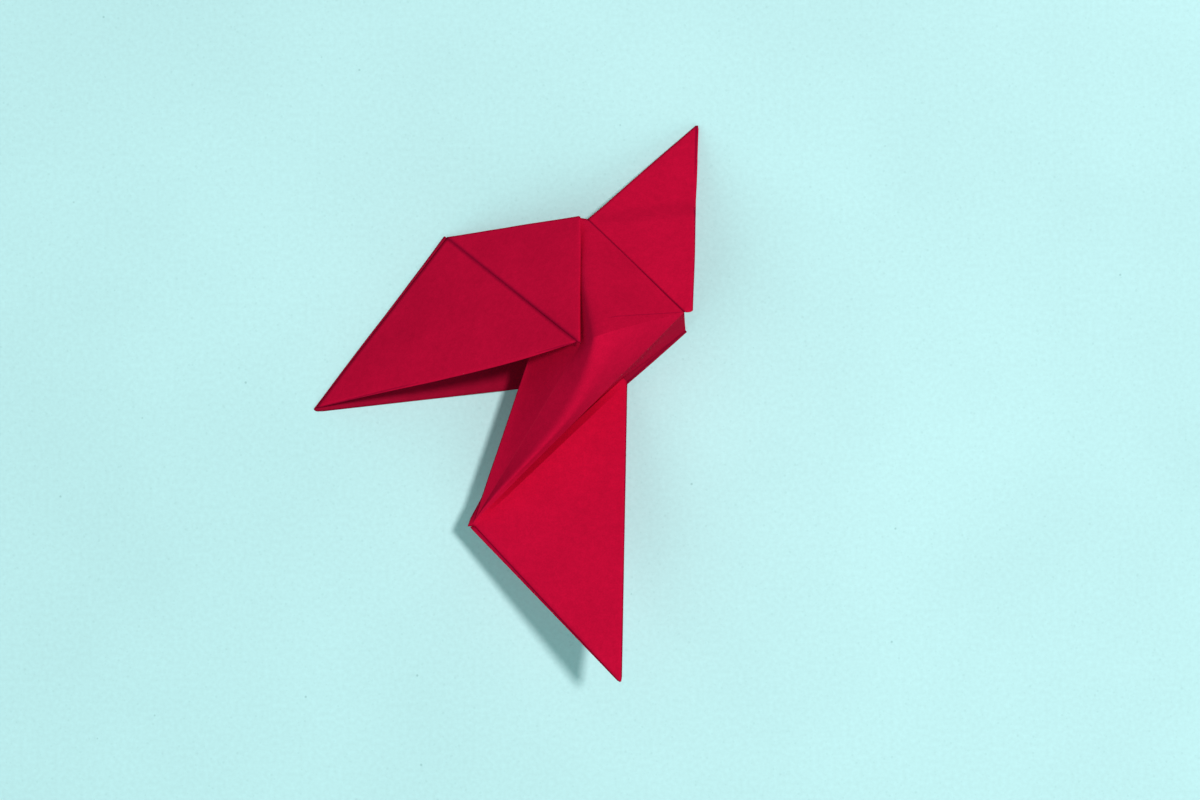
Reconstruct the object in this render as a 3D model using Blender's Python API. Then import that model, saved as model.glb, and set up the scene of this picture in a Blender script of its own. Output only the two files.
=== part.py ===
"""Folded paper figure: one square sheet on a windmill base, opened out so that it stands.

Every node is one flat facet of the sheet between two creases. Millimetres in the tables below,
metres in the scene. The figure rests on the plane z = 0, +Y runs along its longest side.
"""
import bpy
import bmesh
from mathutils import Vector

MM = 0.001
SHEET_THICKNESS = 0.2      # one layer of craft paper
CREASE = 0.35              # in-plane gap between a facet and an open crease
SHARP_CREASE = 0.65        # the same where the two facets meet at a steep angle
FREE = 0.0                 # a raw edge or an outer fold, cut to its full size
PAPER_RED = (0.51, 0.008, 0.036, 1.0)
PAPER_ROUGHNESS = 0.75

# Corners of the folded sheet that can be seen from above.
WING_TIP = (-46.4, -3.7, 0.8)
WING_ROOT = (-14.3, 37.8, 1.2)
CENTRE = (18.1, 11.2, 37.4)
SHOULDER_TOP = (18.0, 41.1, 18.2)
NECK = (19.8, 40.9, 15.4)
CENTRE_TUCKED = (18.9, 10.6, 35.2)
CREST = (22.6, 12.5, 44.0)
RIGHT_CORNER = (42.2, 18.2, 30.0)
TOP_TIP = (46.5, 65.3, 1.1)
HIP = (-6.9, -30.7, 18.0)
FLANK = (5.7, 6.2, 17.5)
LOWER_TIP = (27.9, -65.3, 34.0)

# Corners of the layers underneath.
WING_TIP_FLOOR = (-46.6, -3.8, 0.1)
WING_ROOT_FLOOR = (-14.5, 38.0, 0.1)
HEEL_FLOOR = (29.3, 3.9, 0.1)
WING_ROOT_INNER = (-12.6, 36.7, 2.1)
HEEL = (28.6, 3.6, 5.4)
FLANK_INNER = (6.4, 6.0, 16.4)
HIP_INNER = (-6.4, -30.2, 16.9)
HIP_HINGE = (-6.2, -31.2, 17.3)
HEEL_HINGE = (29.6, 2.6, 5.2)
HIP_UNDER = (-7.4, -31.6, 16.6)
HEEL_UNDER = (29.3, 1.6, 4.5)
LOWER_TIP_UNDER = (27.7, -65.5, 33.2)
CENTRE_UNDER = (16.6, 11.4, 33.0)
TOP_TIP_UNDER = (46.6, 65.4, 0.2)
NECK_UNDER = (20.2, 41.0, 13.9)
RIGHT_UNDER = (43.4, 19.2, 27.8)
LEG_KNEE = (43.6, 15.1, 5.4)
LEG_TIP = (4.2, -20.0, 0.8)
LEG_HEEL = (20.2, 14.0, 2.3)
LEG_KNEE_FLOOR = (43.7, 15.0, 4.7)
LEG_TIP_FLOOR = (3.9, -20.3, 0.1)
LEG_HEEL_FLOOR = (20.4, 14.4, 1.6)
SPINE_KNEE = (43.0, 15.9, 7.2)
SPINE_HEEL = (20.6, 14.6, 3.2)
SPINE_TOP = (22.4, 13.6, 40.6)
NECK_INNER = (20.4, 39.2, 12.9)
NECK_KNEE = (42.6, 16.9, 9.4)
NECK_TOP = (23.4, 15.0, 39.2)


def clear_scene():
    for scene_object in list(bpy.data.objects):
        bpy.data.objects.remove(scene_object, do_unlink=True)


def paper_material(name):
    material = bpy.data.materials.new(name)
    material.use_nodes = True
    shader = material.node_tree.nodes["Principled BSDF"]
    shader.inputs["Base Color"].default_value = PAPER_RED
    shader.inputs["Roughness"].default_value = PAPER_ROUGHNESS
    shader.inputs["Metallic"].default_value = 0.0
    return material


def inset_corner(corner, before, after, inset_before, inset_after):
    """Moves a corner inward, away from its two edges by their insets, in the facet's plane."""
    to_before = (before - corner).normalized()
    to_after = (after - corner).normalized()
    sine = to_before.cross(to_after).length
    return corner + to_before * (inset_after / sine) + to_after * (inset_before / sine)


def facet(name, corners, insets, hinge=None):
    """A flat triangle of paper. insets[i] is the gap along the edge from corner i to corner i + 1.

    A facet that turns on its own crease has its origin at the start of that crease, hinge.
    """
    points = [Vector(corner) * MM for corner in corners]
    trimmed = []
    for i, corner in enumerate(points):
        before, after = points[i - 1], points[(i + 1) % 3]
        trimmed.append(inset_corner(corner, before, after, insets[i - 1] * MM, insets[i] * MM))
    origin = Vector(hinge) * MM if hinge else Vector((0.0, 0.0, 0.0))
    normal = (trimmed[1] - trimmed[0]).cross(trimmed[2] - trimmed[0]).normalized()
    half = normal * (SHEET_THICKNESS * MM / 2)
    shape = bmesh.new()
    lower = [shape.verts.new(point - half - origin) for point in trimmed]
    base = shape.faces.new(lower)
    raised = bmesh.ops.extrude_face_region(shape, geom=[base])["geom"]
    top = [item for item in raised if isinstance(item, bmesh.types.BMVert)]
    bmesh.ops.translate(shape, vec=half * 2, verts=top)
    bmesh.ops.recalc_face_normals(shape, faces=shape.faces)
    mesh = bpy.data.meshes.new(name)
    shape.to_mesh(mesh)
    shape.free()
    mesh.materials.append(paper_material(name + "_paper"))
    sheet = bpy.data.objects.new(name, mesh)
    sheet.location = origin
    bpy.context.scene.collection.objects.link(sheet)
    return sheet


def left_wing():
    facet("left_wing_lower_panel", (WING_TIP_FLOOR, HEEL_FLOOR, WING_ROOT_FLOOR), (FREE, CREASE, FREE))
    facet("left_wing_upper_panel", (WING_TIP, CENTRE, WING_ROOT), (FREE, CREASE, FREE), WING_TIP)
    facet("shoulder_panel", (WING_ROOT, CENTRE, SHOULDER_TOP), (CREASE, FREE, FREE), WING_ROOT)


def body():
    facet("body_left_panel", (HIP, CENTRE_TUCKED, FLANK), (CREASE, FREE, FREE))
    facet("crest_lower_left_panel", (HIP, CREST, CENTRE_TUCKED), (SHARP_CREASE, CREASE, CREASE))
    facet("crest_upper_left_panel", (CENTRE_TUCKED, CREST, NECK), (CREASE, SHARP_CREASE, FREE))
    facet("body_right_lower_panel", (HIP, RIGHT_CORNER, CREST), (FREE, CREASE, SHARP_CREASE))
    facet("body_right_upper_panel", (CREST, RIGHT_CORNER, NECK), (CREASE, CREASE, SHARP_CREASE))


def top_wing():
    facet("top_wing_upper_panel", (RIGHT_CORNER, TOP_TIP, NECK), (FREE, FREE, CREASE), NECK)
    facet("top_wing_lower_panel", (RIGHT_UNDER, TOP_TIP_UNDER, NECK_UNDER), (FREE, FREE, FREE), NECK_UNDER)


def lower_wing():
    facet("lower_wing_upper_panel", (HIP_HINGE, LOWER_TIP, HEEL_HINGE), (FREE, FREE, FREE), HIP_HINGE)
    facet("lower_wing_lower_panel", (HIP_UNDER, LOWER_TIP_UNDER, HEEL_UNDER), (FREE, FREE, FREE),
          HIP_UNDER)


def underside():
    facet("under_left_panel", (WING_ROOT_INNER, HEEL, FLANK_INNER), (FREE, CREASE, CREASE))
    facet("under_right_panel", (HIP_INNER, HEEL, FLANK_INNER), (FREE, CREASE, FREE))
    facet("inner_wing_panel", (WING_ROOT_INNER, CENTRE_UNDER, FLANK_INNER),
          (FREE, CREASE, SHARP_CREASE))


def hidden_leg():
    facet("leg_upper_panel", (LEG_TIP, LEG_KNEE, LEG_HEEL), (FREE, FREE, FREE))
    facet("leg_lower_panel", (LEG_TIP_FLOOR, LEG_KNEE_FLOOR, LEG_HEEL_FLOOR), (FREE, FREE, FREE))
    facet("spine_panel", (SPINE_KNEE, SPINE_TOP, SPINE_HEEL), (FREE, FREE, FREE))
    facet("neck_lining_panel", (NECK_INNER, NECK_KNEE, NECK_TOP), (FREE, FREE, FREE))


clear_scene()
left_wing()
body()
top_wing()
lower_wing()
underside()
hidden_leg()
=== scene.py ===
"""Looks of the folded red paper figure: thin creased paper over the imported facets, in metres."""
import math
import bpy
import bmesh
import numpy as np
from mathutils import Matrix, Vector, noise


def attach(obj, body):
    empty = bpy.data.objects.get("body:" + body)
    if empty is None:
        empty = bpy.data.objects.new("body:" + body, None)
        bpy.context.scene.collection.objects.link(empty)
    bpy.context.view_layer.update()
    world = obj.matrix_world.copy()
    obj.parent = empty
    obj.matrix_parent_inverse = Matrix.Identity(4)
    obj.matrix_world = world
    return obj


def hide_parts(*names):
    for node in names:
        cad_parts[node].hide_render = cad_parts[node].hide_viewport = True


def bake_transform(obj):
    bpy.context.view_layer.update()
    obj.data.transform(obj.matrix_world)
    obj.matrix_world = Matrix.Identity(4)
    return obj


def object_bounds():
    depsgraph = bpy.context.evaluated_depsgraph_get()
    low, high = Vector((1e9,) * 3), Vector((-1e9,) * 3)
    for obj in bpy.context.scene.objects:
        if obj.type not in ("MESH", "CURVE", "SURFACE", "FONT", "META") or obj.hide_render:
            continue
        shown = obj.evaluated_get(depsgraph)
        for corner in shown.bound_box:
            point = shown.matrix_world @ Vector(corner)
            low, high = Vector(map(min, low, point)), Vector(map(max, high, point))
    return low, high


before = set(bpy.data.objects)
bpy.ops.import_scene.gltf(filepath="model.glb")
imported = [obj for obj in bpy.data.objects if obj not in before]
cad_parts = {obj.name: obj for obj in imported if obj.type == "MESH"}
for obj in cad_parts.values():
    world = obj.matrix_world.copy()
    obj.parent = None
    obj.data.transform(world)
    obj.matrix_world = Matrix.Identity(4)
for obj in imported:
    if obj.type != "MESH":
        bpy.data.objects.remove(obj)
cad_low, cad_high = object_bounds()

MM = 0.001
PAPER = 0.14 * MM            # thickness of one layer of craft paper
LAYER_MATCH = 0.26 * MM      # a CAD facet's two faces are nearer to each other than this
SAME_POINT = 1e-6            # CAD vertices nearer to each other than this are one
WELD = 0.004 * MM            # sheet vertices nearer to each other than this are one
CELLS = 44                   # mesh cells along each side of a facet
FOLD_STEPS = 8               # mesh cells round a closed fold
SHARP_FOLD = math.radians(14)

SLOW_WARP, SLOW_SCALE = 0.16 * MM, 55.0        # broad unevenness: its height, and patches in each metre
FAST_WARP, FAST_SCALE = 0.035 * MM, 170.0      # the same for fine unevenness
FAST_PLACE = Vector((7.0, 3.0, 1.0))           # keeps the fine pattern clear of the broad one
BLUNTING = 0.35              # share of its distance from the rim that a blunted tip's paper moves back
HEM_OPENING = 1.6            # how much deeper a turned-in strip lies at its raw edge than at its fold

PAPER_RED = (0.568, 0.0034, 0.033, 1.0)
# Painted shade: the floor-level layers get a darker red for the shade they lie in under the wings and the
# body.
SHADED_RED = (0.320, 0.0036, 0.024, 1.0)
# Painted shade: the dark red laid into creases and along rims, where shade falls.
CREASE_SHADE_RED = (0.100, 0.0008, 0.018, 1.0)
# Painted highlight: a lighter red laid along creases and edges that catch the key light.
HIGHLIGHT_RED = (0.690, 0.012, 0.048, 1.0)
FLOOR_AQUA = (0.545, 0.742, 0.752, 1.0)
FLECK_GREEN = (0.220, 0.400, 0.400, 1.0)
PAPER_ROUGHNESS, PAPER_SPECULAR, PAPER_IOR = 0.78, 0.03, 1.15
FLOOR_ROUGHNESS, FLOOR_SPECULAR = 0.9, 0.15

# Noise layers: scale, detail, and the shade at their darkest and at their lightest.
CLOUD = (90.0, 3.0, 0.955, 1.045)
MOTTLE = (700.0, 4.0, 0.95, 1.05)
GRAIN = (2600.0, 2.0, 0.93, 1.07)
FLOOR_CLOUD = (14.0, 3.0, 0.97, 1.03)
FLOOR_MOTTLE = (950.0, 4.0, 0.965, 1.035)
NOISE_LOW, NOISE_HIGH = 0.3, 0.7               # the middle range of a noise texture
FLECKS = ((95.0, 0.035, 0.50), (330.0, 0.13, 0.13), (610.0, 0.16, 0.10))     # scale, radius, strength
GRAIN_RELIEF, CREASE_RELIEF = 0.6, 0.8         # their share in the bump, next to the mottle's 1
BUMP_STRENGTH, BUMP_HEIGHT = 0.25, 0.12 * MM

# Kinds of line drawn on the paper: width in millimetres, strength. The first two are painted highlights;
# all the others are painted shade that darkens creases and rims, over a groove pressed into the bump.
# Painted highlights: light lines along the crease from tuck to hip and along the body's right edge.
LEFT_CREASE_HIGHLIGHT, RIGHT_EDGE_HIGHLIGHT = (0.26, 0.40), (0.24, 0.35)
FAINT_CREASE = (0.28, 0.30)
HIP_CREASE = (0.35, 0.50)
WING_CREASE = (0.40, 0.60)
HOOD_CREASE = (0.95, 0.45)
HOOD_RIM = (0.35, 0.45)
TOP_FOLD, TOP_RIM = (0.50, 0.70), (0.35, 0.40)
LOWER_RIM, UNDER_RIM, UNDER_SHADE = (0.40, 0.70), (0.45, 0.80), (1.30, 0.85)
CURVE_PARTS = 6              # straight parts that stand for a curved crease in a drawn line

CAMERA_OFFSET = Vector((23.0, -1.7, 0.0)) * MM
CAMERA_HEIGHT = 407.0 * MM
CAMERA_LENS = 50.0
LAMP_DISTANCE = 1.3
KEY_AZIMUTH, KEY_ELEVATION, KEY_SIZE, KEY_POWER = 26.0, 71.5, 0.12, 12.0
FILLS = (("left_fill", 215.0, 52.0, 3.2), ("front_fill", -60.0, 42.0, 3.0))
FILL_SIZE, FILL_COLOUR = 0.8, (0.76, 1.0, 0.99)
WORLD_COLOUR, WORLD_STRENGTH = (0.45, 1.0, 0.98, 1.0), 0.27
FLOOR_HALF = 8.0
FLOOR_GAP = 0.02 * MM        # keeps the floor just below the paper's lowest face


def unit(vector):
    return vector / np.linalg.norm(vector)


def smooth_step(t):
    return t * t * (3 - 2 * t)


def new_object(name, data):
    thing = bpy.data.objects.new(name, data)
    bpy.context.scene.collection.objects.link(thing)
    return thing


# ---------------------------------------------------------------- corners of the folds, from the frame

def facet_corners(node):
    """The three corners of a CAD facet, halfway through its thickness."""
    points = []
    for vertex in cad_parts[node].data.vertices:
        place = np.array(vertex.co)
        if all(np.linalg.norm(place - other) > SAME_POINT for other in points):
            points.append(place)
    corners = []
    while points:
        first = points.pop()
        near = [p for p in points if np.linalg.norm(p - first) < LAYER_MATCH]
        points = [p for p in points if np.linalg.norm(p - first) >= LAYER_MATCH]
        corners.append(np.mean([first] + near, axis=0))
    return corners


def meet(*picks):
    """Where the edges of neighbouring facets would meet if nothing were trimmed at their creases.

    Each pick is a node and the direction in which the wanted corner lies furthest.
    """
    total, pull = np.zeros((3, 3)), np.zeros(3)
    for node, direction in picks:
        corners = sorted(facet_corners(node), key=lambda p: float(np.dot(p, direction)))
        tip, others = corners[-1], corners[:-1]
        for other in others:
            along = unit(other - tip)
            across = np.eye(3) - np.outer(along, along)
            total += across
            pull += across @ tip
    return np.linalg.solve(total, pull)


LEFT, RIGHT, FRONT, BACK, UP, DOWN = (
    np.array(v, float) for v in
    ((-1, 0, 0), (1, 0, 0), (0, -1, 0), (0, 1, 0), (0, 0, 1), (0, 0, -1)))

WING_TIP = meet(("left_wing_upper_panel", LEFT))
WING_ROOT = meet(("left_wing_upper_panel", BACK), ("shoulder_panel", LEFT))
CENTRE = meet(("left_wing_upper_panel", RIGHT), ("shoulder_panel", FRONT))
SHOULDER_TOP = meet(("shoulder_panel", BACK))
NECK = meet(("top_wing_upper_panel", LEFT), ("body_right_upper_panel", BACK))
TOP_TIP = meet(("top_wing_upper_panel", BACK))
RIGHT_CORNER = meet(("top_wing_upper_panel", FRONT), ("body_right_upper_panel", RIGHT),
                    ("body_right_lower_panel", RIGHT))
CREST = meet(("body_right_upper_panel", UP), ("body_right_lower_panel", UP),
             ("crest_upper_left_panel", UP), ("crest_lower_left_panel", UP))
TUCK = meet(("body_left_panel", UP), ("crest_upper_left_panel", FRONT))
HIP = meet(("body_left_panel", FRONT), ("body_right_lower_panel", FRONT))
FLANK = meet(("body_left_panel", BACK - 4 * UP))
INNER_ROOT = meet(("under_left_panel", BACK), ("inner_wing_panel", LEFT))
HEEL = meet(("under_left_panel", RIGHT), ("under_right_panel", RIGHT))
FLOOR_ROOT = meet(("left_wing_lower_panel", BACK))
FLOOR_HEEL = meet(("left_wing_lower_panel", RIGHT))
LOWER_HIP = meet(("lower_wing_upper_panel", LEFT))
LOWER_TIP = meet(("lower_wing_upper_panel", FRONT))
LOWER_HEEL = meet(("lower_wing_upper_panel", BACK))
UNDER_HIP = meet(("lower_wing_lower_panel", LEFT))
UNDER_TIP = meet(("lower_wing_lower_panel", FRONT))
UNDER_HEEL = meet(("lower_wing_lower_panel", BACK))
TOP_UNDER_NECK = meet(("top_wing_lower_panel", LEFT))
TOP_UNDER_TIP = meet(("top_wing_lower_panel", BACK))
TOP_UNDER_CORNER = meet(("top_wing_lower_panel", FRONT))
LEG_TIP = meet(("leg_upper_panel", FRONT))
LEG_KNEE = meet(("leg_upper_panel", RIGHT))
LEG_HEEL = meet(("leg_upper_panel", BACK - 0.5 * RIGHT))
LEG_FLOOR_TIP = meet(("leg_lower_panel", FRONT))
LEG_FLOOR_KNEE = meet(("leg_lower_panel", RIGHT))
LEG_FLOOR_HEEL = meet(("leg_lower_panel", BACK - 0.5 * RIGHT))
SPINE_KNEE = meet(("spine_panel", RIGHT))
SPINE_TOP = meet(("spine_panel", UP))
SPINE_HEEL = meet(("spine_panel", DOWN))
LINING_NECK = meet(("neck_lining_panel", BACK))
LINING_KNEE = meet(("neck_lining_panel", RIGHT))
LINING_TOP = meet(("neck_lining_panel", UP))

# The left wing's lower layer ends a little in front of the upper layer's tip.
FLOOR_TIP = meet(("left_wing_lower_panel", LEFT)) + (RIGHT * 0.35 + FRONT * 0.85) * MM

# Paper that runs on out of sight: under the left wing's edge, and under the shoulder's edge.
FLANK_ABOVE = FLANK + unit(FLANK - HIP) * 4.0 * MM
NECK_LEFT = SHOULDER_TOP + (LEFT * 0.8 + BACK * 0.1 + DOWN * 1.8) * MM


# ---------------------------------------------------------------- sheets of paper

def facet_grid(a, b, c, bow=0.0):
    """A triangle of paper as small triangles; bow lifts its middle off the plane."""
    normal = unit(np.cross(b - a, c - a))
    rows = []
    for i in range(CELLS + 1):
        row = []
        for j in range(CELLS + 1 - i):
            u, v = i / CELLS, j / CELLS
            w = 1 - u - v
            fullness = 27 * u * v * w      # 1 in the middle, 0 along the sides
            row.append(a * w + b * u + c * v + normal * (bow * fullness))
        rows.append(row)
    triangles = []
    for i in range(CELLS):
        for j in range(CELLS - i):
            triangles.append((rows[i][j], rows[i + 1][j], rows[i][j + 1]))
            if j < CELLS - i - 1:
                triangles.append((rows[i + 1][j], rows[i + 1][j + 1], rows[i][j + 1]))
    return triangles


def closed_fold(upper_start, upper_end, lower_start, lower_end, outward):
    """The rounded edge where the upper layer turns over into the lower one."""
    def ring(t):
        upper = upper_start + (upper_end - upper_start) * t
        lower = lower_start + (lower_end - lower_start) * t
        middle, half = (upper + lower) / 2, (upper - lower) / 2
        across = outward - half * (np.dot(outward, half) / max(np.dot(half, half), 1e-12))
        across *= np.linalg.norm(half) / np.linalg.norm(across)
        return [middle + half * math.cos(math.pi * s / FOLD_STEPS)
                + across * math.sin(math.pi * s / FOLD_STEPS) for s in range(FOLD_STEPS + 1)]
    return quads([ring(i / CELLS) for i in range(CELLS + 1)])


def quads(rows):
    """Faces between neighbouring rows of points."""
    faces = []
    for row, after in zip(rows, rows[1:]):
        for k in range(len(row) - 1):
            faces.append((row[k], row[k + 1], after[k + 1], after[k]))
    return faces


def strip(start, end, cells):
    """Evenly spaced points from start to end."""
    return [start + (end - start) * (k / cells) for k in range(cells + 1)]


def unevenness(place):
    """Handled paper is never quite flat: a few hundredths of a millimetre, in soft patches."""
    slow = noise.noise(Vector(place) * SLOW_SCALE)
    fast = noise.noise(Vector(place) * FAST_SCALE + FAST_PLACE)
    return slow * SLOW_WARP + fast * FAST_WARP


def make_sheet(name, faces, body, nodes, bend=None):
    """Welds faces into one thin sheet, bends it, and lets it ride on a body in place of CAD nodes.

    A sheet given no body is attached to none.
    """
    mesh = bpy.data.meshes.new(name)
    shape = bmesh.new()
    known = {}

    def vertex(place):
        key = tuple(np.round(place / WELD).astype(int))
        if key not in known:
            known[key] = shape.verts.new(place)
        return known[key]

    for face in faces:
        corners = []
        for place in face:
            v = vertex(place)
            if v not in corners:
                corners.append(v)
        if len(corners) > 2 and shape.faces.get(corners) is None:
            shape.faces.new(corners)
    bmesh.ops.recalc_face_normals(shape, faces=shape.faces)
    shape.normal_update()
    for v in shape.verts:
        shift = v.normal * unevenness(v.co)
        if bend:
            shift = shift + Vector(bend(np.array(v.co)))
        v.co = v.co + shift
    shape.to_mesh(mesh)
    shape.free()
    mesh.shade_smooth()
    mesh.set_sharp_from_angle(angle=SHARP_FOLD)
    sheet = new_object(name, mesh)
    thickness = sheet.modifiers.new("paper_thickness", "SOLIDIFY")
    thickness.thickness = PAPER
    thickness.offset = 0.0
    if body:
        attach(sheet, body)
    if nodes:
        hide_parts(*nodes)
    return sheet


HEM_CELLS = 6                # mesh cells across a turned-in strip


def hem(a, b, inside, gap, depth):
    """A closed fold along the edge a to b, and the strip of paper turned in under the sheet."""
    normal = unit(np.cross(b - a, inside - a))
    if normal[2] > 0:
        normal = -normal
    outward = np.cross(b - a, normal)
    height = np.dot(inside - a, outward) / np.linalg.norm(outward)
    if height > 0:
        outward, height = -outward, -height
    share = depth / -height
    low_a, low_b, low_in = a + normal * gap, b + normal * gap, inside + normal * gap * HEM_OPENING
    fold = closed_fold(a, b, low_a, low_b, outward)
    edge = strip(low_a, low_b, CELLS)
    return fold + quads([strip(point, point + (low_in - point) * share, HEM_CELLS) for point in edge])


def blunt(*tips, radius=1.0 * MM):
    """Pushes the last millimetre of each sharp tip back, as folding and handling do."""
    def bend(place):
        shift = np.zeros(3)
        for tip, middle in tips:
            gap = np.linalg.norm(place - tip)
            if gap < radius:
                shift += unit(middle - tip) * (radius - gap) * BLUNTING
        return shift
    return bend


def centre_of(*corners):
    return sum(corners) / len(corners)


# ---------------------------------------------------------------- the body, bent softly over its crest

CREST_STEPS = 12             # cells across the rounded crest
SIDE_STEPS = 22              # cells across each flat side of it
CREST_LEAN = 1.5 * MM        # how far the crest bows left between neck and summit
CREST_BELLY = 4.4 * MM       # how far it bows right between summit and hip
LEFT_ROUNDING = 0.34         # share of each side that the crest's rounding takes up
RIGHT_ROUNDING = 0.30
CREASE_END = 0.86            # where, from neck to summit, the right corner's crease meets the crest
LEFT_EDGE_SAG = 2.4 * MM     # how far the crease from tuck to hip sinks below a straight line
TUCKED_UNDER = (LEFT * 0.9 + DOWN * 2.0) * MM     # how far the left boundary runs in under the shoulder
TUCK_BLUFFNESS = 0.7         # below 1, the boundary leaves its ends steeply
EDGE_ARCH = 4.4 * MM         # how far the right edge rises between right corner and hip
DROP = (LEFT * 0.5 + BACK * 0.5 + DOWN * 3.4) * MM     # from the heel-to-hip line down into the narrow drop
DROP_BLUFFNESS = 0.8
WALL_CELLS, DROP_CELLS, END_CELLS = 14, 12, 6
HIP_END_START = 0.16         # where, from hip to flank, the blunt end of the body starts
HIP_END_UPPER = (LEFT * 0.75 + BACK * 0.9 + DOWN * 0.9) * MM
HIP_END_LOWER = (LEFT * 0.55 + BACK * 0.35 + UP * 0.25) * MM     # clear of the lower wing as it folds down


def crest_line(part, t):
    """A point on the bent crest: part 0 runs from neck to summit, part 1 from summit to hip."""
    if part == 0:
        return NECK + (CREST - NECK) * t + LEFT * CREST_LEAN * math.sin(math.pi * t) ** 2
    across = unit(np.cross(CREST - HIP, UP))
    bulge = t * (1 - t) ** 2 * 6.75      # 1 at a third of the way down, 0 at both ends
    return CREST + (HIP - CREST) * t + across * CREST_BELLY * bulge


def left_edge_point(t):
    """A point on the crease between the crest's left side and the body's left panel, tuck to hip."""
    return TUCK + (HIP - TUCK) * t + DOWN * LEFT_EDGE_SAG * math.sin(math.pi * t)


def right_edge_point(t):
    """A point on the body's right edge, which arches from right corner to hip."""
    return RIGHT_CORNER + (HIP - RIGHT_CORNER) * t + UP * EDGE_ARCH * math.sin(math.pi * t)


def crest_rows():
    """Cross-sections of the body from its left boundary, over the crest, to its right edge."""
    rows = []
    for part in (0, 1):
        for i in range(CELLS + 1):
            t = i / CELLS
            if part == 0:
                tucked = TUCKED_UNDER * math.sin(math.pi * t) ** TUCK_BLUFFNESS
                left_edge = NECK_LEFT + (TUCK - NECK_LEFT) * t + tucked
                right_edge = NECK + (RIGHT_CORNER - NECK) * min(1.0, t / CREASE_END)
            else:
                left_edge, right_edge = left_edge_point(t), right_edge_point(t)
            rows.append(crest_section(crest_line(part, t), left_edge, right_edge))
    return rows


def crest_section(summit, left_edge, right_edge):
    """Points over the crest: a straight side, a curve that rounds the summit, a straight side."""
    start = summit + (left_edge - summit) * LEFT_ROUNDING
    end = summit + (right_edge - summit) * RIGHT_ROUNDING
    points = [left_edge + (start - left_edge) * k / SIDE_STEPS for k in range(SIDE_STEPS)]
    for k in range(CREST_STEPS + 1):
        t = k / CREST_STEPS
        points.append(start * (1 - t) ** 2 + summit * 2 * t * (1 - t) + end * t ** 2)
    points += [end + (right_edge - end) * k / SIDE_STEPS for k in range(1, SIDE_STEPS + 1)]
    return points


def gutter_bottom(t):
    """A point on the bottom of the narrow drop between the body's right edge and the lower wing."""
    return HIP + (HEEL - HIP) * t + DROP * math.sin(math.pi * t) ** DROP_BLUFFNESS


def hip_end():
    """The blunt end of the body at the hip, where the sheet doubles back into the lower wing."""
    above = HIP + (FLANK - HIP) * HIP_END_START
    lower_end = UNDER_HIP + HIP_END_LOWER
    return quads([strip(above, HIP + HIP_END_UPPER, END_CELLS), strip(HIP, lower_end, END_CELLS),
                  strip(LOWER_HIP, lower_end, END_CELLS)])


def right_wall():
    """The layer that hangs from the body's right edge down to the bottom of the narrow drop."""
    places = [i / CELLS for i in range(CELLS + 1)]
    return quads([strip(right_edge_point(1 - t), gutter_bottom(t), WALL_CELLS) for t in places])


def body_sheet():
    faces = quads(crest_rows())
    faces += right_wall() + hip_end()
    faces += quads([strip(left_edge_point(i / CELLS), FLANK_ABOVE, CELLS) for i in range(CELLS + 1)])
    faces += facet_grid(INNER_ROOT, TUCK, FLANK_ABOVE)
    faces += facet_grid(INNER_ROOT, HEEL, FLANK_ABOVE)
    faces += quads([strip(gutter_bottom(i / CELLS), FLANK_ABOVE, DROP_CELLS) for i in range(CELLS + 1)])
    return make_sheet("body_paper", faces, "body",
                      ("body_left_panel", "body_right_lower_panel", "body_right_upper_panel",
                       "crest_lower_left_panel", "crest_upper_left_panel", "inner_wing_panel",
                       "under_left_panel", "under_right_panel"))


# ---------------------------------------------------------------- the flaps

FLOOR_LIFT = 0.8 * MM        # how far the left wing's lower layer stands off the table near the body
LIFT_START, LIFT_TOP, LIFT_END = -42.0 * MM, 2.0 * MM, 15.0 * MM     # where along X it starts, peaks, ends
LIFT_REACH = 26.0 * MM       # how far behind the front edge it fades out


def floor_lift(place):
    """The lower layer is puffed up along its front edge, most of all where it enters the body."""
    behind = np.linalg.norm(np.cross(place - FLOOR_TIP, unit(FLOOR_HEEL - FLOOR_TIP)))
    if place[0] < LIFT_TOP:
        share = max(0.0, (place[0] - LIFT_START) / (LIFT_TOP - LIFT_START)) ** 1.3
    else:
        share = max(0.0, (LIFT_END - place[0]) / (LIFT_END - LIFT_TOP)) ** 2
    return UP * FLOOR_LIFT * share * smooth_step(max(0.0, 1 - behind / LIFT_REACH))


def left_wing_floor():
    outward = LEFT * 0.79 + BACK * 0.61      # square to the fold, seen from above
    faces = facet_grid(FLOOR_TIP, FLOOR_HEEL, FLOOR_ROOT)
    faces += closed_fold(WING_TIP, WING_ROOT, FLOOR_TIP, FLOOR_ROOT, outward)
    tip = blunt((FLOOR_TIP, centre_of(FLOOR_TIP, FLOOR_HEEL, FLOOR_ROOT)))
    return make_sheet("left_wing_lower_paper", faces, "body", ("left_wing_lower_panel",),
                      lambda place: tip(place) + floor_lift(place))


WING_BELLY = 0.9 * MM        # how far the left wing's front edge bows out
WING_BELLY_FADE = 7.0 * MM
WING_BELLY_SKEW = 1.6        # above 1, the fullest place lies nearer the body


def left_wing():
    faces = facet_grid(WING_TIP, CENTRE, WING_ROOT, bow=0.5 * MM)
    middle = centre_of(WING_TIP, CENTRE, WING_ROOT)
    tips = blunt((WING_TIP, middle), (CENTRE, middle))
    edge = unit(CENTRE - WING_TIP)
    outward = unit(np.cross(edge, UP))

    def bend(place):
        along = np.dot(place - WING_TIP, edge) / np.linalg.norm(CENTRE - WING_TIP)
        behind = np.linalg.norm(np.cross(place - WING_TIP, edge))
        fullness = max(0.0, math.sin(math.pi * min(1.0, max(0.0, along)) ** WING_BELLY_SKEW))
        return tips(place) + outward * WING_BELLY * fullness * math.exp(-behind / WING_BELLY_FADE)
    return make_sheet("left_wing_upper_paper", faces, "left_wing", ("left_wing_upper_panel",), bend)


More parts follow.
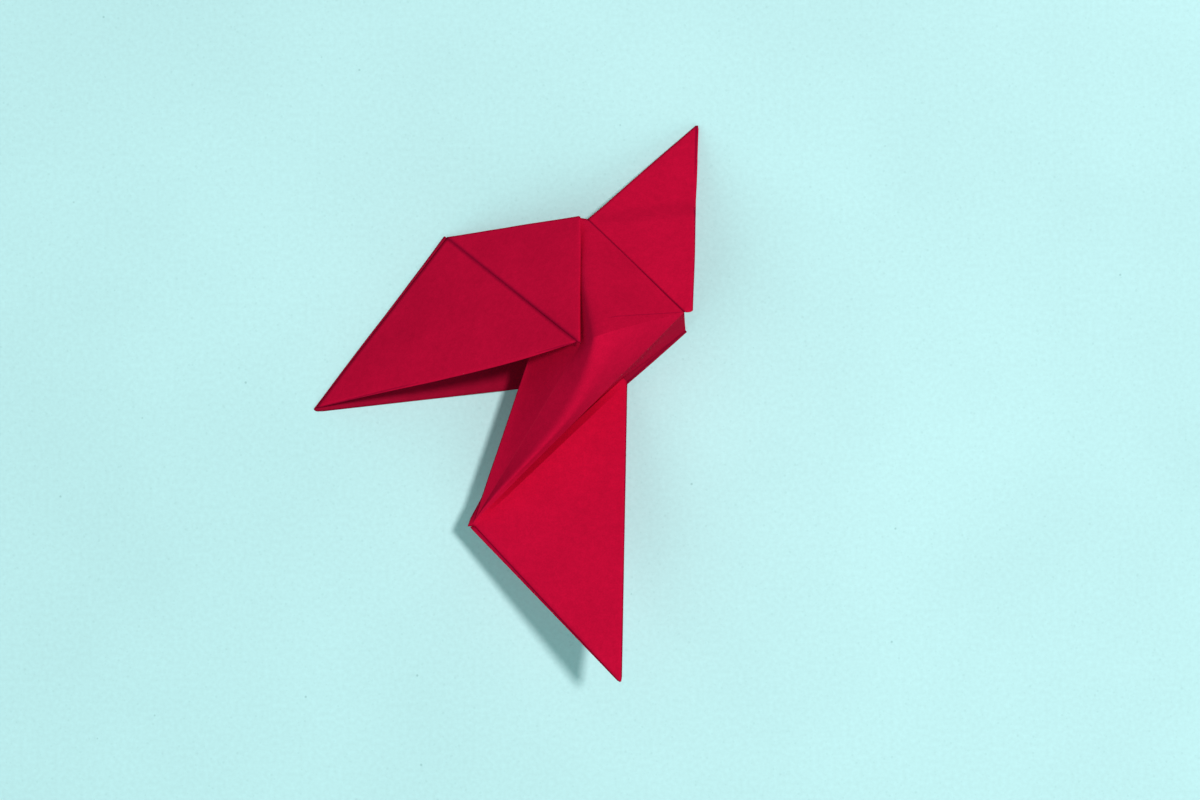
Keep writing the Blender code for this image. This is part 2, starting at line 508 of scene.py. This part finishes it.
def shoulder():
    faces = facet_grid(WING_ROOT, CENTRE, SHOULDER_TOP, bow=0.35 * MM)
    faces += hem(WING_ROOT, SHOULDER_TOP, CENTRE, gap=0.5 * MM, depth=7.0 * MM)
    faces += hem(SHOULDER_TOP, CENTRE, WING_ROOT, gap=0.6 * MM, depth=4.0 * MM)
    return make_sheet("shoulder_paper", faces, "shoulder", ("shoulder_panel",))


WAVE_START = NECK * 0.91 + TOP_TIP * 0.09     # where the kink leaves the top wing's left edge
WAVE_SLANT = 0.14                             # its rise to the right, in Y for each unit of X
WAVE_DIP = 1.2 * MM
WAVE_RAMP = 5.0 * MM                          # the steep side, towards the body
WAVE_FADE = 11.0 * MM                         # the long side, towards the tip
WAVE_HOLD = 5.0 * MM                          # the wing's crease keeps the paper straight this near to it


def top_wing_bend(place):
    """A kink across the wing: it dips from the body's side and recovers slowly towards the tip."""
    side = unit(np.cross(RIGHT_CORNER - NECK, UP))
    hold = min(1.0, abs(np.dot(place - NECK, side)) / WAVE_HOLD)
    beyond = place[1] - WAVE_START[1] - WAVE_SLANT * (place[0] - WAVE_START[0])
    if beyond < 0:
        climb = smooth_step(max(0.0, 1 + beyond / WAVE_RAMP))
    else:
        climb = math.exp(-beyond / WAVE_FADE)
    return DOWN * WAVE_DIP * hold * climb


def top_wing():
    faces = facet_grid(RIGHT_CORNER, TOP_TIP, NECK)
    faces += facet_grid(TOP_UNDER_CORNER, TOP_UNDER_TIP, TOP_UNDER_NECK)
    faces += closed_fold(TOP_TIP, RIGHT_CORNER, TOP_UNDER_TIP, TOP_UNDER_CORNER, RIGHT)
    tip = blunt((TOP_TIP, NECK), (TOP_UNDER_TIP, NECK))
    return make_sheet("top_wing_paper", faces, "top_wing",
                      ("top_wing_upper_panel", "top_wing_lower_panel"),
                      lambda place: tip(place) + top_wing_bend(place))


GUTTER_CELLS = 6             # mesh cells across the lower wing's side of the narrow drop


def lower_wing():
    """The upper layer, which runs on into the narrow drop beside the body, and the under layer."""
    upper = facet_grid(LOWER_HIP, LOWER_TIP, LOWER_HEEL, bow=-0.3 * MM)
    crease = strip(LOWER_HIP, LOWER_HEEL, CELLS)
    upper += quads([strip(point, gutter_bottom(i / CELLS), GUTTER_CELLS)
                    for i, point in enumerate(crease)])
    under = facet_grid(UNDER_HIP, UNDER_TIP, UNDER_HEEL, bow=0.3 * MM)
    middle = centre_of(LOWER_HIP, LOWER_TIP, LOWER_HEEL)
    tip = blunt((LOWER_TIP, middle), (UNDER_TIP, middle), radius=1.2 * MM)
    top = make_sheet("lower_wing_upper_paper", upper, None, ("lower_wing_upper_panel",), tip)
    axis = unit(LOWER_HEEL - LOWER_HIP)
    outward = LOWER_TIP - LOWER_HIP
    outward = unit(outward - axis * np.dot(outward, axis))
    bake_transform(top)
    return [top,
            make_sheet("lower_wing_under_paper", under, "lower_wing", ("lower_wing_lower_panel",), tip)]


def leg():
    faces = facet_grid(LEG_TIP, LEG_KNEE, LEG_HEEL)
    faces += facet_grid(LEG_FLOOR_TIP, LEG_FLOOR_KNEE, LEG_FLOOR_HEEL)
    faces += closed_fold(LEG_KNEE, LEG_TIP, LEG_FLOOR_KNEE, LEG_FLOOR_TIP, RIGHT - BACK)
    return make_sheet("leg_paper", faces, "body", ("leg_upper_panel", "leg_lower_panel"))


def knee():
    """The steep face from the body's right corner down to the leg, seen past the body's edge."""
    corner = RIGHT_CORNER + DOWN * 0.8 * MM
    foot = LEG_KNEE + (UP * 0.4 + LEFT * 0.1) * MM
    return make_sheet("knee_paper", facet_grid(corner, foot, HEEL, bow=0.4 * MM), "body", ())


def inner_layers():
    spine = facet_grid(SPINE_KNEE, SPINE_TOP, SPINE_HEEL)
    lining = facet_grid(LINING_NECK, LINING_KNEE, LINING_TOP)
    return [make_sheet("spine_paper", spine, "body", ("spine_panel",)),
            make_sheet("neck_lining_paper", lining, "body", ("neck_lining_panel",))]


# ---------------------------------------------------------------- materials

def feed(tree, sockets, values):
    """Links each socket to its value, or sets it where the value is a plain number or colour."""
    for socket, value in zip(sockets, values):
        if isinstance(value, bpy.types.NodeSocket):
            tree.links.new(value, socket)
        else:
            socket.default_value = value


def vector_math(tree, operation, *values):
    node = tree.nodes.new("ShaderNodeVectorMath")
    node.operation = operation
    feed(tree, node.inputs, values)
    return node


def scalar_math(tree, operation, first, second, clamp=False):
    node = tree.nodes.new("ShaderNodeMath")
    node.operation = operation
    node.use_clamp = clamp
    feed(tree, node.inputs, (first, second))
    return node.outputs[0]


def map_range(tree, value, start, end, start_result, end_result, interpolation="LINEAR"):
    node = tree.nodes.new("ShaderNodeMapRange")
    node.interpolation_type = interpolation
    sockets = [node.inputs[key] for key in ("Value", "From Min", "From Max", "To Min", "To Max")]
    feed(tree, sockets, (value, start, end, start_result, end_result))
    return node.outputs[0]


def noise_map(tree, place, scale, detail, low, high):
    """A noise texture whose middle range is spread over low to high."""
    texture = tree.nodes.new("ShaderNodeTexNoise")
    sockets = [texture.inputs[key] for key in ("Vector", "Scale", "Detail")]
    feed(tree, sockets, (place, scale, detail))
    return map_range(tree, texture.outputs[0], NOISE_LOW, NOISE_HIGH, low, high)


def line_mask(tree, place, start, end, width):
    """1 on the line from start to end and 0 from width away, in the sheet's own coordinates."""
    along = Vector(end) - Vector(start)
    from_start = vector_math(tree, "SUBTRACT", place, tuple(start)).outputs[0]
    travelled = vector_math(tree, "DOT_PRODUCT", from_start, tuple(along)).outputs["Value"]
    share = scalar_math(tree, "DIVIDE", travelled, along.length_squared, clamp=True)
    foot = vector_math(tree, "SCALE", tuple(along))
    tree.links.new(share, foot.inputs["Scale"])
    gap = vector_math(tree, "DISTANCE", from_start, foot.outputs[0]).outputs["Value"]
    return map_range(tree, gap, 0.0, width, 1.0, 0.0, "SMOOTHSTEP")


def tint(tree, colour, shade, strength, blend="MULTIPLY"):
    """Mixes shade, a colour or a socket, over colour by strength."""
    mix = tree.nodes.new("ShaderNodeMix")
    mix.data_type = "RGBA"
    mix.blend_type = blend
    first_colour, second_colour, result = mix.inputs[6], mix.inputs[7], mix.outputs[2]
    feed(tree, (mix.inputs["Factor"], first_colour, second_colour), (strength, colour, shade))
    return result


def mottled(tree, base, shade):
    """The base colour, lighter and darker as shade says."""
    grey = tree.nodes.new("ShaderNodeCombineColor")
    feed(tree, grey.inputs, (shade, shade, shade))
    return tint(tree, base, grey.outputs[0], 1.0)


def matt_material(name, roughness, specular):
    """A new material with its node tree, its shader and the object's own coordinates."""
    material = bpy.data.materials.new(name)
    material.use_nodes = True
    tree = material.node_tree
    shader = tree.nodes["Principled BSDF"]
    shader.inputs["Roughness"].default_value = roughness
    shader.inputs["Specular IOR Level"].default_value = specular
    place = tree.nodes.new("ShaderNodeTexCoord").outputs["Object"]
    return material, tree, shader, place


def red_paper(name, highlight_lines=(), pressed_and_shaded_lines=(), base=PAPER_RED):
    """Uncoated red craft paper: felt-like mottle and short fibres, painted highlights along some creases
    and edges, and painted shade along creases and rims, where the bump presses a groove.
    """
    material, tree, shader, place = matt_material(name, PAPER_ROUGHNESS, PAPER_SPECULAR)
    shader.inputs["IOR"].default_value = PAPER_IOR
    cloud, mottle, grain = (noise_map(tree, place, *layer) for layer in (CLOUD, MOTTLE, GRAIN))
    shade = scalar_math(tree, "MULTIPLY", scalar_math(tree, "MULTIPLY", cloud, mottle), grain)
    colour = mottled(tree, base, shade)
    height = scalar_math(tree, "ADD", mottle, scalar_math(tree, "MULTIPLY", grain, GRAIN_RELIEF))
    # Painted highlights: lines mixed towards a lighter red where a crease or edge catches the light.
    for start, end, width, strength in highlight_lines:
        mask = line_mask(tree, place, start, end, width)
        colour = tint(tree, colour, HIGHLIGHT_RED, scalar_math(tree, "MULTIPLY", mask, strength), "MIX")
    # Painted shade: crease and rim lines mixed towards a dark red, with a real groove pressed into the
    # bump.
    for start, end, width, strength in pressed_and_shaded_lines:
        mask = line_mask(tree, place, start, end, width)
        colour = tint(tree, colour, CREASE_SHADE_RED, scalar_math(tree, "MULTIPLY", mask, strength), "MIX")
        height = scalar_math(tree, "SUBTRACT", height, scalar_math(tree, "MULTIPLY", mask, CREASE_RELIEF))
    tree.links.new(colour, shader.inputs["Base Color"])
    bump = tree.nodes.new("ShaderNodeBump")
    bump.inputs["Strength"].default_value = BUMP_STRENGTH
    bump.inputs["Distance"].default_value = BUMP_HEIGHT
    tree.links.new(height, bump.inputs["Height"])
    tree.links.new(bump.outputs[0], shader.inputs["Normal"])
    return material


def dress(sheets, material):
    for sheet in sheets:
        sheet.data.materials.append(material)


# ---------------------------------------------------------------- surroundings

def floor():
    """A pale aqua sheet of recycled paper under the figure, with faint flecks and cloudy patches."""
    level = cad_low.z - FLOOR_GAP
    corners = [(x * FLOOR_HALF, y * FLOOR_HALF, level) for x, y in ((-1, -1), (1, -1), (1, 1), (-1, 1))]
    mesh = bpy.data.meshes.new("floor")
    mesh.from_pydata(corners, [], [(0, 1, 2, 3)])
    ground = new_object("floor", mesh)
    material, tree, shader, place = matt_material("aqua_paper", FLOOR_ROUGHNESS, FLOOR_SPECULAR)
    cloud, mottle = (noise_map(tree, place, *layer) for layer in (FLOOR_CLOUD, FLOOR_MOTTLE))
    colour = mottled(tree, FLOOR_AQUA, scalar_math(tree, "MULTIPLY", cloud, mottle))
    for scale, radius, strength in FLECKS:
        flecks = tree.nodes.new("ShaderNodeTexVoronoi")
        feed(tree, [flecks.inputs[key] for key in ("Vector", "Scale")], (place, scale))
        speck = map_range(tree, flecks.outputs["Distance"], radius * 0.5, radius, strength, 0.0)
        colour = tint(tree, colour, FLECK_GREEN, speck, "MIX")
    tree.links.new(colour, shader.inputs["Base Color"])
    mesh.materials.append(material)


def aimed(name, azimuth, elevation):
    """A new light that points at the object; azimuth counts from +X towards +Y."""
    a, e = math.radians(azimuth), math.radians(elevation)
    direction = Vector((math.cos(a) * math.cos(e), math.sin(a) * math.cos(e), math.sin(e)))
    data = bpy.data.lights.new(name, "AREA")
    lamp = new_object(name, data)
    lamp.location = direction * LAMP_DISTANCE
    lamp.rotation_euler = (-direction).to_track_quat("-Z", "Y").to_euler()
    return data


def lights():
    key = aimed("key", KEY_AZIMUTH, KEY_ELEVATION)
    key.shape = "DISK"
    key.size = KEY_SIZE
    key.energy = KEY_POWER
    for name, azimuth, elevation, power in FILLS:
        fill = aimed(name, azimuth, elevation)
        fill.shape = "RECTANGLE"
        fill.size, fill.size_y = FILL_SIZE, FILL_SIZE
        fill.energy = power
        fill.color = FILL_COLOUR
    world = bpy.data.worlds.new("studio")
    world.use_nodes = True
    background = world.node_tree.nodes["Background"]
    background.inputs["Color"].default_value = WORLD_COLOUR
    background.inputs["Strength"].default_value = WORLD_STRENGTH
    bpy.context.scene.world = world
    bpy.context.scene.view_settings.view_transform = "Standard"


def camera():
    data = bpy.data.cameras.new("camera")
    data.lens = CAMERA_LENS
    eye = new_object("camera", data)
    eye.location = CAMERA_OFFSET + Vector((0.0, 0.0, CAMERA_HEIGHT))
    bpy.context.scene.camera = eye


# ---------------------------------------------------------------- assembly

def edges(kind, *corners):
    """Lines of one kind between one corner and the next, as red_paper draws them."""
    width, strength = kind
    return [(start, end, width * MM, strength) for start, end in zip(corners, corners[1:])]


def points_on(curve):
    return [curve(k / CURVE_PARTS) for k in range(CURVE_PARTS + 1)]


# In the calls below, the pressed lines are painted shade along creases and rims over a pressed groove.
camera()
crease_end = NECK + (CREST - NECK) * CREASE_END
dress([body_sheet()], red_paper(
    "red_paper_body",
    # painted highlights along the crest's left crease and the body's right edge
    highlight_lines=(edges(LEFT_CREASE_HIGHLIGHT, *points_on(left_edge_point))
                + edges(RIGHT_EDGE_HIGHLIGHT, *points_on(right_edge_point))),
    # painted shade along the right corner's crease, the neck crease and the hip crease
    pressed_and_shaded_lines=(edges(FAINT_CREASE, RIGHT_CORNER, crease_end) + edges(WING_CREASE, NECK, RIGHT_CORNER)
                   + edges(HIP_CREASE, HIP, FLANK_ABOVE))))
dress([left_wing()], red_paper(
    "red_paper_left_wing",
    # painted shade in the hood's valley and along its rims
    pressed_and_shaded_lines=edges(HOOD_CREASE, WING_ROOT, CENTRE) + edges(HOOD_RIM, WING_ROOT, WING_TIP, CENTRE)))
dress([shoulder()], red_paper(
    "red_paper_shoulder",
    # painted shade in the hood's valley and along the shoulder's rim
    pressed_and_shaded_lines=edges(HOOD_CREASE, WING_ROOT, CENTRE) + edges(HOOD_RIM, WING_ROOT, SHOULDER_TOP)))
turned_half = np.linalg.norm(RIGHT_CORNER - TOP_UNDER_CORNER) / 2
turned_corner = (RIGHT_CORNER + TOP_UNDER_CORNER) / 2 + RIGHT * turned_half
dress([top_wing()], red_paper(
    "red_paper_top_wing",
    # painted shade along the neck crease, the turned fold and the rim
    pressed_and_shaded_lines=(edges(WING_CREASE, NECK, RIGHT_CORNER) + edges(TOP_FOLD, turned_corner, TOP_TIP)
                   + edges(TOP_RIM, NECK, TOP_TIP))))
wing_over, wing_under = lower_wing()
# painted shade along the lower wing's rim
dress([wing_over], red_paper("red_paper_lower_wing", pressed_and_shaded_lines=edges(LOWER_RIM, LOWER_HEEL, LOWER_TIP)))
dress([wing_under], red_paper(
    "red_paper_lower_wing_under",
    # painted shade along the under layer's rim, and a painted shadow where the upper layer's edge falls on
    # it
    pressed_and_shaded_lines=edges(UNDER_RIM, UNDER_HEEL, UNDER_TIP) + edges(UNDER_SHADE, LOWER_TIP, LOWER_HIP)))
# Painted shade: the left wing's floor layer and the leg are dressed in a darker red that stands in for the
# shade they lie in.
dress([left_wing_floor(), leg()], red_paper(
    "red_paper_shaded_floor_layers", base=SHADED_RED,
    pressed_and_shaded_lines=edges(WING_CREASE, FLOOR_TIP, FLOOR_HEEL) + edges(WING_CREASE, LEG_KNEE, LEG_TIP)))
dress([knee()] + inner_layers(), red_paper("red_paper_inner_layers"))
floor()
lights()
